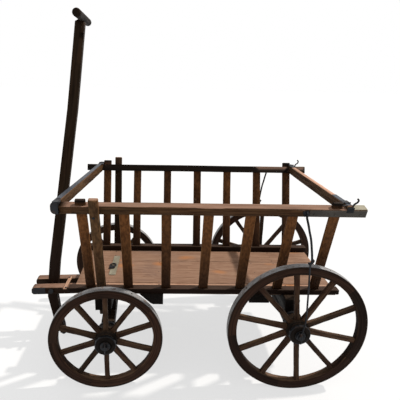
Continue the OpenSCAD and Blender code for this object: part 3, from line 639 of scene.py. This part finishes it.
def felloes(wheel, place, rim_inner, rim_outer):
    props = bpy.context.scene.cart_wheels
    gap = 0.3 * MM / rim_outer
    turn = 2 * math.pi / props.felloe_count
    bm = bmesh.new()
    edge = layers(bm)[2]
    profile = rounded(oblong(rim_inner, rim_outer, -RIM_HALF, RIM_HALF), 4 * MM)
    for number in range(props.felloe_count):
        old = set(bm.verts)
        spin_profile(bm, profile, 18, turn - gap, True)
        own = [v for v in bm.verts if v not in old]
        shift = turn * number + turn / 4 + gap / 2
        bmesh.ops.rotate(bm, cent=(0, 0, 0), verts=own, matrix=Matrix.Rotation(shift, 3, "Z"))
    for vert in bm.verts:
        radius = math.hypot(vert.co.x, vert.co.y)
        corner = abs(vert.co.z) > RIM_HALF - 1.5 * MM and radius - rim_inner < 3 * MM
        vert[edge] = 1.0 if corner else 0.0
    finish_in_wheel(wheel, "felloes", "worn", bm, place, "weathered wheel ash", True, 1.1 * MM)


def nave(wheel, place, bore):
    bm = bmesh.new()
    edge = layers(bm)[2]
    profile = [(bore, NAVE_INNER)] + mm(
        (34, -62), (36, -60), (36, -46), (39, -42), (43, -20), (45.2, -15), (46, -8), (46, 8),
        (45.2, 15), (42, 20), (40, 21), (39.5, 23), (38.5, 27), (38, 30.2), (38, 43.2),
        (36.5, 44.8), (25, 45.2), (23.5, 42.7), (20.5, 42.7), (19, 44.6))
    profile.append((bore, NAVE_OUTER - 0.2 * MM))
    spin_profile(bm, profile, 56)
    bmesh.ops.remove_doubles(bm, verts=bm.verts, dist=1e-6)
    for vert in bm.verts:
        radius = math.hypot(vert.co.x, vert.co.y)
        if radius > 30 * MM:
            vert.co.xy *= 1 + 0.012 * noise.noise(vert.co * 60)
        vert[edge] = 0.8 if radius > 45 * MM else 0.0
    finish_in_wheel(wheel, "nave", "turned", bm, place, "greased oak", False, sharp=50.0)


def tyre(wheel, place, radius):
    """Shrunk-on iron hoop with its corners worn round, and a flush bolt in each felloe."""
    props = bpy.context.scene.cart_wheels
    bm = bmesh.new()
    tread = layers(bm)[2]
    hoop = oblong(radius - TYRE_DEEP, radius, -RIM_HALF, RIM_HALF)
    spin_profile(bm, rounded(hoop, 1.3 * MM), 112)
    bmesh.ops.remove_doubles(bm, verts=bm.verts, dist=1e-6)
    for vert in bm.verts:
        if math.hypot(vert.co.x, vert.co.y) > radius - 0.9 * MM:
            vert[tread] = 1.0
            vert.co.xy *= 1 - 0.0011 * (1 + noise.noise(vert.co * 16))
    for number in range(props.felloe_count):
        head = bmesh.ops.create_uvsphere(bm, u_segments=14, v_segments=8, radius=5 * MM)["verts"]
        bmesh.ops.scale(bm, vec=(1, 1, 0.3), verts=head)
        turn = Matrix.Rotation(2 * math.pi * (number + 0.62) / props.felloe_count, 4, "Z")
        spot = turn @ Matrix.Translation((radius - 1.3 * MM, 0, 0))
        bmesh.ops.transform(bm, matrix=spot @ Matrix.Rotation(math.pi / 2, 4, "Y"), verts=head)
    finish_in_wheel(wheel, "tyre", "iron", bm, place, "road worn tyre iron", True)


def bands(wheel, place):
    """Two iron rings that hold the nave from splitting."""
    bm = bmesh.new()
    layers(bm)
    for radius, low, high in mm((36, -60, -47), (38, 31.2, 43.2)):
        spin_profile(bm, rounded(oblong(radius, radius + 3.5 * MM, low, high), 1 * MM), 56)
    bmesh.ops.remove_doubles(bm, verts=bm.verts, dist=1e-6)
    finish_in_wheel(wheel, "bands", "iron", bm, place, "wrought iron", True)


# ---------- ironwork ----------

def outline(radius, sides):
    """A round rod's outline."""
    turns = [2 * math.pi * i / sides for i in range(sides)]
    return [(radius * math.cos(turn), radius * math.sin(turn)) for turn in turns]


def flat(width, thick):
    """A bar's outline with its four arrises worn off."""
    w, t, c = width / 2, thick / 2, min(width, thick) * 0.22
    return [(w, t - c), (w - c, t), (c - w, t), (-w, t - c), (-w, c - t), (c - w, -t), (w - c, -t),
            (w, c - t)]


def sweep(bm, points, shape, up=(0, 0, 1)):
    """Extrudes an outline along a path, square to the path at each of its points."""
    path = [Vector(point) for point in points]
    up = Vector(up)
    last = len(path) - 1
    frames = []
    for i, here in enumerate(path):
        ahead = (path[min(i + 1, last)] - path[max(i - 1, 0)]).normalized()
        side = up.cross(ahead).normalized()
        up = ahead.cross(side).normalized()
        turn = Matrix((side, up, ahead)).transposed().to_4x4()
        frames.append(Matrix.Translation(here) @ turn)
    made = {bm.verts.new(frames[0] @ Vector((x, y, 0))) for x, y in shape}
    face = bm.faces.new([v for v in bm.verts if v in made][-len(shape):])
    for before, after in zip(frames, frames[1:]):
        new = bmesh.ops.extrude_face_region(bm, geom=[face])["geom"]
        face = next(item for item in new if isinstance(item, bmesh.types.BMFace))
        ring = [item for item in new if isinstance(item, bmesh.types.BMVert)]
        bmesh.ops.transform(bm, matrix=after @ before.inverted(), verts=ring)
        made.update(ring)
    faces = list({f for v in made if v.is_valid for f in v.link_faces})
    bmesh.ops.recalc_face_normals(bm, faces=faces)


def curved(points, steps=5):
    """The points with a smooth curve drawn through them."""
    path = [Vector(point) for point in points]
    drawn = []
    for i in range(len(path) - 1):
        a, b = path[max(i - 1, 0)], path[i]
        c, d = path[i + 1], path[min(i + 2, len(path) - 1)]
        for step in range(steps):
            t = step / steps
            drawn.append(0.5 * (2 * b + (c - a) * t + (2 * a - 5 * b + 4 * c - d) * t * t
                                + (3 * b - a - 3 * c + d) * t * t * t))
    return drawn + [path[-1]]


def turn_to(normal, spot):
    """The place of a thing made lying flat, with its top along the normal."""
    turn = Vector(normal).to_track_quat("Z", "Y").to_matrix().to_4x4()
    return Matrix.Translation(Vector(spot)) @ turn


def bolt(bm, spot, normal, radius, washer=0.0):
    """A forged bolt head: a low dome, over a square washer if it has one."""
    place = turn_to(normal, spot)
    head = bmesh.ops.create_uvsphere(bm, u_segments=12, v_segments=8, radius=radius)["verts"]
    bmesh.ops.scale(bm, vec=(1, 1, 0.55), verts=head)
    bmesh.ops.translate(bm, vec=(0, 0, 1.2 * MM if washer else 0), verts=head)
    bmesh.ops.transform(bm, matrix=place, verts=head)
    if washer:
        plate = bmesh.ops.create_cube(bm, size=1.0)["verts"]
        bmesh.ops.scale(bm, vec=(washer, washer, 3 * MM), verts=plate)
        rims = list({e for v in plate for e in v.link_edges})
        made = round_edges(bm, rims, 0.9 * MM)
        own = list(set(made["verts"]) | {v for v in plate if v.is_valid})
        bmesh.ops.transform(bm, matrix=place @ Matrix.Rotation(0.3, 4, "Z"), verts=own)


def ring(bm, spot, normal, radius, wire):
    """A closed eye of round wire."""
    bow = outline(radius, 20)
    place = turn_to(normal, spot)
    sweep(bm, [place @ Vector((x, y, 0)) for x, y in bow + bow[:1]], outline(wire, 8),
          Vector(normal))


def forged(node, body, arris):
    """A copy of a CAD iron with its sharp edges hammered round."""
    bm = cad_copy(node)
    layers(bm)
    round_edges(bm, sharp_edges(bm), arris)
    finish_piece(node + "_forged", bm, "wrought iron", body, [node])


def in_ladder(sign):
    """The place of a ladder's own plane: x along the cart, y outwards, z up the slats.
    Sign is -1 for the left ladder and 1 for the right one."""
    lean = math.radians(LEAN)
    out = Vector((0, sign * math.cos(lean), -math.sin(lean)))
    up = Vector((0, sign * math.sin(lean), math.cos(lean)))
    turn = Matrix((ALONG_X, out, up)).transposed().to_4x4()
    return Matrix.Translation(Vector((0, sign * RAIL_Y, RAIL_TOP))) @ turn


def iron_piece(name, bm, finish="wrought iron", body="wagon", nodes=()):
    layers(bm)
    finish_piece(name, bm, finish, body, nodes, 40.0)


def fastened_at():
    """Where the floor boards are nailed down: over the bolsters and the battens."""
    places = []
    for node in ("front_bolster", "rear_bolster"):
        low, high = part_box(node)
        places.append((low.x + high.x) / 2)
    low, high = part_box("cross_battens")
    return places + [high.x - 22 * MM, -125 * MM]


# ---------- operators ----------

class CART_OT_materials(bpy.types.Operator):
    """Makes the timber and iron finishes, and gives the iron CAD nodes theirs"""

    bl_idname = "cart.materials"
    bl_label = "Finishes"

    def execute(self, context):
        make_materials()
        finishes = {slot: finish for finish, slot in reversed(SLOTS.items())}
        for part in frame["record"]["subparts"]:
            data = NODES[part["node"]].data
            data.materials.clear()
            data.materials.append(bpy.data.materials[finishes[part["material_slot"]]])
        NODES["kingpin_plate"].data.materials[0] = bpy.data.materials["tarnished zinc plate"]
        return {"FINISHED"}


class CART_OT_floor(bpy.types.Operator):
    """Lays the floor boards"""

    bl_idname = "cart.floor"
    bl_label = "Floor boards"

    def execute(self, context):
        timber("floor_planks", ALONG_X, "bare pine boards", arris=1.8 * MM,
               wash_and_light=lambda low: 0.6 if low.y < -0.15 else 0.0)
        return {"FINISHED"}


class CART_OT_under_frame(bpy.types.Operator):
    """Bolsters, battens, axle bed and reach pole under the floor"""

    bl_idname = "cart.under_frame"
    bl_label = "Under frame"

    def execute(self, context):
        # The under frame's lowered tone is painted shade under the floor
        for node in ("cross_battens", "front_bolster", "rear_bolster", "rear_axle_bed"):
            timber(node, ALONG_Y, "greased oak", shade=0.25)
        timber("reach_pole", ALONG_X, "greased oak")
        return {"FINISHED"}


class CART_OT_ladders(bpy.types.Operator):
    """Rails, slats and cross rails"""

    bl_idname = "cart.ladders"
    bl_label = "Ladders"

    def execute(self, context):
        lean = math.radians(LEAN)
        # The right ladder's top rail and slats get darker tones, and its top rail a darker top, than the left's:
        # painted shade
        for side, sign, rail, washed_and_lit, slats in (("left", -1, 0.38, 0.15, 0.6),
                                                ("right", 1, 0.03, -0.2, 0.38)):
            timber(side + "_bottom_rail", ALONG_X, "stained ash", shade=0.06, wash_and_light=-0.75)
            timber(side + "_top_rail", ALONG_X, "stained ash", shade=rail, wash_and_light=washed_and_lit)
            up = Vector((0, sign * math.sin(lean), math.cos(lean)))
            timber(side + "_slats", up, "sun browned ash", arris=3.2 * MM, shade=slats,
                   spread=0.3, wash_and_light=-0.85, tarred=SLAT_HEADS)
        timber("front_cross_rail", ALONG_Y, "stained ash", arris=3 * MM, shade=0.42)
        # The rear cross rail's top is made much paler: painted sunlight
        timber("rear_cross_rail", ALONG_Y, "stained ash", arris=3 * MM, shade=0.3, wash_and_light=1.6)
        return {"FINISHED"}


class CART_OT_stakes(bpy.types.Operator):
    """The stakes that prop the ladders on the front bolster"""

    bl_idname = "cart.stakes"
    bl_label = "Stakes"

    def execute(self, context):
        lean = math.radians(STAKE_LEAN)
        # The right stake gets a darker tone than the left: painted shade
        for side, sign, shade in (("left", -1, 0.6), ("right", 1, 0.15)):
            up = Vector((0, sign * math.sin(lean), math.cos(lean)))
            timber(side + "_stake", up, "stained ash", arris=3.5 * MM, shade=shade, wash_and_light=0.6)
        return {"FINISHED"}


class CART_OT_front_carriage(bpy.types.Operator):
    """Axle bed, turning bolster, hounds and tie, which steer together"""

    bl_idname = "cart.front_carriage"
    bl_label = "Front carriage"

    def execute(self, context):
        for node in ("front_axle_bed", "turning_bolster"):
            timber(node, AXLE_AXIS, "greased oak", "front_carriage", warp=0.3, shade=0.4)
        for node, washed_and_lit in (("left_hound", 0.3), ("right_hound", 0.0)):
            timber(node, HOUND_AXIS, "stained ash", "front_carriage", warp=0.4, shade=0.25,
                   wash_and_light=washed_and_lit)
        timber("hound_tie", AXLE_AXIS, "bare pine boards", "front_carriage", arris=1.5 * MM,
               wash_and_light=0.8)
        return {"FINISHED"}


class CART_OT_irons(bpy.types.Operator):
    """Corner cap and straps, rail plates, hooks, bolts and nails"""

    bl_idname = "cart.irons"
    bl_label = "Ironwork"

    def execute(self, context):
        forged("front_corner_irons", "wagon", 2.2 * MM)
        forged("rear_corner_irons", "wagon", 0.8 * MM)
        forged("hound_shoe", "front_carriage", 1.6 * MM)
        self.rail_plates()
        self.cross_straps()
        self.hooks()
        self.bolts()
        return {"FINISHED"}

    def rail_plates(self):
        """A long plate on each top rail's outer face at the rear, bolted through the rail"""
        for side, sign in (("left", -1), ("right", 1)):
            place = in_ladder(sign)
            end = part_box(side + "_top_rail")[1].x
            bm = bmesh.new()
            face = RAIL_HALF + 1.3 * MM
            middle = (RAIL_LOW + RAIL_HIGH) / 2
            sweep(bm, [place @ Vector((x, face, middle)) for x in (end - 214 * MM, end - 2 * MM)],
                  flat(2.6 * MM, 28 * MM), place.to_3x3() @ Vector((0, 0, 1)))
            over = RAIL_HIGH + 1.3 * MM
            for x in (24, 118, 196):
                bolt(bm, place @ Vector((end - x * MM, face + 1.2 * MM, middle - 3 * MM)),
                     place.to_3x3() @ ALONG_Y, 5 * MM)
            iron_piece(side + "_rail_plates", bm, "brown plate iron")
            bm = bmesh.new()
            sweep(bm, [place @ Vector((x, 0, over)) for x in (end - 62 * MM, end - 1 * MM)],
                  flat(30 * MM, 2.6 * MM), place.to_3x3() @ Vector((0, 0, 1)))
            iron_piece(side + "_rail_end_plate", bm, "tarnished zinc plate")

    def cross_straps(self):
        """Straps along the top of the cross rails: all of the front one, the rear one's ends.
        A span is a share of the rail's length, from its left end"""
        for node, spans in (("front_cross_rail", ((0.0, 1.0),)),
                            ("rear_cross_rail", ((0.0, 0.2), (0.9, 1.0)))):
            mesh = NODES[node].data
            top = max(v.co.z for v in mesh.vertices) + 1.1 * MM
            ends = []
            for sign in (-1, 1):
                reach = max(sign * v.co.y for v in mesh.vertices) - 4 * MM
                near = [v.co.x for v in mesh.vertices if sign * v.co.y > reach - 4 * MM]
                ends.append(Vector(((min(near) + max(near)) / 2, sign * reach, top)))
            bm = bmesh.new()
            for start, stop in spans:
                path = [ends[0].lerp(ends[1], start + (stop - start) * i / 6) for i in range(7)]
                sweep(bm, path, flat(19 * MM, 2.4 * MM))
            iron_piece(node + "_strap", bm, "scaled strap iron")

    def hooks(self):
        """The lashing hook and staple on each rear corner, and the leaf that locks them"""
        for side, sign in (("left", -1), ("right", 1)):
            corner = ((598 if sign < 0 else 586) * MM, 0, RAIL_HIGH)
            place = in_ladder(sign) @ Matrix.Translation(corner)
            bm = bmesh.new()
            leaf = mm((0, 0, -2), (-1, 0, 8), (5, -2, 16), (13, -3, 22), (15, -3, 31),
                      (10, -3, 37))
            staple = mm((-44, 2, -4), (-44, 2, 6), (-36, 2, 10), (-16, 4, 9), (-8, 7, 6),
                        (-7, 8, -4))
            for path, wire, up in ((leaf, 3.4 * MM, ALONG_X), (staple, 2.6 * MM, ALONG_Y)):
                sweep(bm, [place @ point for point in curved(path)], outline(wire, 8), up)
            iron_piece(side + "_lashing_hook", bm)

    def bolts(self):
        """Bolt heads where timbers cross, and the nails of the floor boards"""
        bm = bmesh.new()
        for sign in (-1, 1):
            place = in_ladder(sign)
            out = place.to_3x3() @ ALONG_Y
            bolt(bm, place @ Vector((-357 * MM, RAIL_HALF + 20.5 * MM, 385 * MM)), out, 6 * MM)
        iron_piece("stake_bolts", bm)
        bm = bmesh.new()
        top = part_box("floor_planks")[1].z
        for x in fastened_at():
            for y in (-176, -142, -118, -30, 60, 88, 132, 176):
                stray = noise.noise(Vector((x * 90, y, 0.5))) * 5 * MM
                bolt(bm, (x + stray, y * MM, top - 0.6 * MM), (0, 0, 1), 2.8 * MM)
        iron_piece("floor_nails", bm)
        bm = bmesh.new()
        low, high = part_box("hound_tie")
        for reach in (-46 * MM, 46 * MM):
            spot = (low + high) / 2 + AXLE_AXIS * reach
            bolt(bm, (spot.x, spot.y, high.z), (0, 0, 1), 5.5 * MM)
        iron_piece("tie_bolts", bm, body="front_carriage")


class CART_OT_stays(bpy.types.Operator):
    """The two bent rods on each side that hold the ladders from spreading"""

    bl_idname = "cart.stays"
    bl_label = "Stays"

    def execute(self, context):
        for side, sign in (("left", -1), ("right", 1)):
            edge = in_ladder(sign) @ Vector((REAR_AXLE.x, RAIL_HALF, RAIL_HIGH))
            out = Vector((0, sign, 0))
            bm = bmesh.new()

            def sway(x):
                """The left stay has bent backward and the right one forward."""
                return (x if sign < 0 else -0.75 * x - 3) * MM

            def at(x, y, z):
                return Vector((REAR_AXLE.x + sway(x), edge.y + sign * y * MM, edge.z - z * MM))

            # The upper rod hangs from an eye bolt and ends in a hook
            upper = [at(-14, 5, 15), at(-13, 9, 17), at(-13.5, 9, 28), at(-9.6, 9, 41),
                     at(-4, 11, 62), at(0.6, 13, 82), at(8, 17, 112), at(13, 22, 150),
                     at(16.5, 26, 185), at(15, 28, 200), at(8, 30, 205), at(6, 28, 197)]
            sweep(bm, curved(upper), outline(4.2 * MM, 10), ALONG_X)
            # The lower rod hooks into it and ends in the eye on the axle
            eye_y = abs(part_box(side + "_stay")[0 if sign < 0 else 1].y) - 3 * MM
            eye = Vector((REAR_AXLE.x, sign * eye_y, REAR_AXLE.z))
            lower = [at(20, 24, 188), at(24, 27, 192), at(18, 29, 200), at(11.5, 29, 212),
                     at(11, 36, 265), at(11.5, 40, 305),
                     eye + Vector((sway(12.5), -2 * sign * MM, 84 * MM)),
                     eye + Vector((-8 * sign * MM, 0, 46 * MM)),
                     eye + Vector((-3 * sign * MM, 0, 17 * MM))]
            sweep(bm, curved(lower), outline(3.4 * MM, 10), ALONG_X)
            bore, rim = 10.6 * MM, 17 * MM
            start = len(bm.verts)
            spin_profile(bm, rounded(oblong(bore, rim, -3 * MM, 3 * MM), 1 * MM), 32)
            bm.verts.ensure_lookup_table()
            own = bm.verts[start:]
            bmesh.ops.recalc_face_normals(bm, faces=list({f for v in own for f in v.link_faces}))
            bmesh.ops.transform(bm, matrix=turn_to(out, eye), verts=own)
            iron_piece(side + "_bent_stay", bm, nodes=[side + "_stay"])
            bm = bmesh.new()
            bolt(bm, at(-14, -1, 15), out, 6.5 * MM, 22 * MM)
            ring(bm, at(-14, 6, 15), ALONG_X, 6 * MM, 2.8 * MM)
            iron_piece(side + "_stay_eye", bm)
        return {"FINISHED"}


class CART_OT_drawbar(bpy.types.Operator):
    """Pole and handle of the drawbar"""

    bl_idname = "cart.drawbar"
    bl_label = "Drawbar"

    def execute(self, context):
        low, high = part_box("drawbar_pole")
        up = Vector((high.x - low.x, 0, high.z - low.z)).normalized()
        timber("drawbar_pole", up, "stained ash", "drawbar", arris=5 * MM, warp=0.4, shade=0.14)
        timber("drawbar_handle", AXLE_AXIS, "stained ash", "drawbar", arris=4 * MM, warp=0.5,
               shade=0.05, wash_and_light=-0.5)
        return {"FINISHED"}


class CART_OT_wheels(bpy.types.Operator):
    """The four wheels: spokes, felloes, nave, tyre and bands"""

    bl_idname = "cart.wheels"
    bl_label = "Wheels"

    def execute(self, context):
        for wheel in WHEELS:
            place = wheel_place(wheel)
            radius = place.translation.z
            outer = radius - TYRE_DEEP
            inner = outer - FELLOE_DEEP
            spokes(wheel, place, inner)
            felloes(wheel, place, inner, outer)
            nave(wheel, place, BORES[wheel.split("_")[0]])
            tyre(wheel, place, radius)
            bands(wheel, place)
        return {"FINISHED"}


class CART_OT_axle_ends(bpy.types.Operator):
    """Bent linchpins through the ends of both axles"""

    bl_idname = "cart.axle_ends"
    bl_label = "Linchpins"

    def execute(self, context):
        for wheel in WHEELS:
            place = wheel_place(wheel)
            body = "front_carriage" if wheel.startswith("front") else "wagon"
            bm = bmesh.new()
            pin = mm((17, 0, 56), (15, 0, 62), (-15, 0, 62), (-21, 1, 62.5), (-25, 5, 62))
            sweep(bm, [place @ point for point in curved(pin, 4)], outline(2.2 * MM, 8),
                  place.to_3x3() @ ALONG_Y)
            iron_piece(wheel + "_linchpin", bm, body=body)
        return {"FINISHED"}


class CART_OT_stage(bpy.types.Operator):
    """Floor, soft light and camera"""

    bl_idname = "cart.stage"
    bl_label = "Stage"

    def execute(self, context):
        scene = context.scene
        props = scene.cart_stage
        bm = bmesh.new()
        bmesh.ops.create_grid(bm, x_segments=1, y_segments=1, size=30.0)
        mesh = bpy.data.meshes.new("stage_floor")
        bm.to_mesh(mesh)
        bm.free()
        # A white acrylic sheet lit from below, so that shadows on it stay pale
        material, tree = blank_material("backlit white acrylic")
        shader = add_node(tree, "BsdfPrincipled", {
            "Base Color": linear("#747474"), "Roughness": 0.95, "Specular IOR Level": 0.0,
            "Emission Color": (1.0, 1.0, 1.0, 1.0), "Emission Strength": 0.64})
        add_node(tree, "OutputMaterial", {"Surface": shader})
        mesh.materials.append(material)
        floor = bpy.data.objects.new("stage_floor", mesh)
        scene.collection.objects.link(floor)

        world = bpy.data.worlds.new("soft studio")
        world.use_nodes = True
        sky = world.node_tree.nodes["Background"]
        sky.inputs["Color"].default_value = (1.0, 1.0, 1.0, 1.0)
        sky.inputs["Strength"].default_value = props.fill
        scene.world = world

        light = bpy.data.lights.new("key", "SUN")
        light.angle = math.radians(2)
        light.energy = props.key
        light.color = (1.0, 0.95, 0.88)
        key = bpy.data.objects.new("key", light)
        key.rotation_euler = Vector((0.73, 0.12, 1.0)).to_track_quat("Z", "Y").to_euler()
        scene.collection.objects.link(key)
        # The timber's browns are given as they look under even white light
        scene.view_settings.view_transform = "Standard"

        lens = bpy.data.cameras.new("camera")
        lens.sensor_width = SENSOR
        lens.lens = SENSOR * FOCUS / FRAME
        lens.shift_x = (FRAME / 2 - MIDDLE[0]) / FRAME
        lens.shift_y = (MIDDLE[1] - FRAME / 2) / FRAME
        camera = bpy.data.objects.new("camera", lens)
        pitch, yaw, roll = CAMERA_TURN
        ahead = Vector((math.sin(yaw) * math.cos(pitch), math.cos(yaw) * math.cos(pitch),
                        -math.sin(pitch)))
        right = Vector((math.cos(yaw), -math.sin(yaw), 0))
        up = right.cross(ahead)
        turned_right = math.cos(roll) * right + math.sin(roll) * up
        turned_up = -math.sin(roll) * right + math.cos(roll) * up
        turn = Matrix((turned_right, turned_up, -ahead)).transposed().to_4x4()
        camera.matrix_world = Matrix.Translation(CAMERA_AT) @ turn
        scene.collection.objects.link(camera)
        scene.camera = camera
        return {"FINISHED"}


STEPS = (CART_OT_materials, CART_OT_floor, CART_OT_under_frame, CART_OT_ladders, CART_OT_stakes,
         CART_OT_irons, CART_OT_stays, CART_OT_front_carriage, CART_OT_drawbar, CART_OT_wheels,
         CART_OT_axle_ends, CART_OT_stage)
GROUPS = (CartTimber, CartWheels, CartStage)


class CART_PT_panel(bpy.types.Panel):
    """Lists the cart's building steps and its main sizes"""

    bl_idname = "CART_PT_panel"
    bl_label = "Ladder hand cart"
    bl_space_type = "VIEW_3D"
    bl_region_type = "UI"
    bl_category = "Hand cart"

    def draw(self, context):
        layout = self.layout
        for step in STEPS:
            layout.operator(step.bl_idname)
        for group in (context.scene.cart_timber, context.scene.cart_wheels,
                      context.scene.cart_stage):
            box = layout.box()
            for name in group.bl_rna.properties.keys():
                if name not in {"rna_type", "name"}:
                    box.prop(group, name)


def register():
    for item in GROUPS + STEPS + (CART_PT_panel,):
        bpy.utils.register_class(item)
    bpy.types.Scene.cart_timber = bpy.props.PointerProperty(type=CartTimber)
    bpy.types.Scene.cart_wheels = bpy.props.PointerProperty(type=CartWheels)
    bpy.types.Scene.cart_stage = bpy.props.PointerProperty(type=CartStage)


def unregister():
    del bpy.types.Scene.cart_stage
    del bpy.types.Scene.cart_wheels
    del bpy.types.Scene.cart_timber
    for item in reversed(GROUPS + STEPS + (CART_PT_panel,)):
        bpy.utils.unregister_class(item)


def main():
    register()
    for step in STEPS:
        group, name = step.bl_idname.split(".")
        getattr(getattr(bpy.ops, group), name)()


if __name__ == "__main__":
    main()
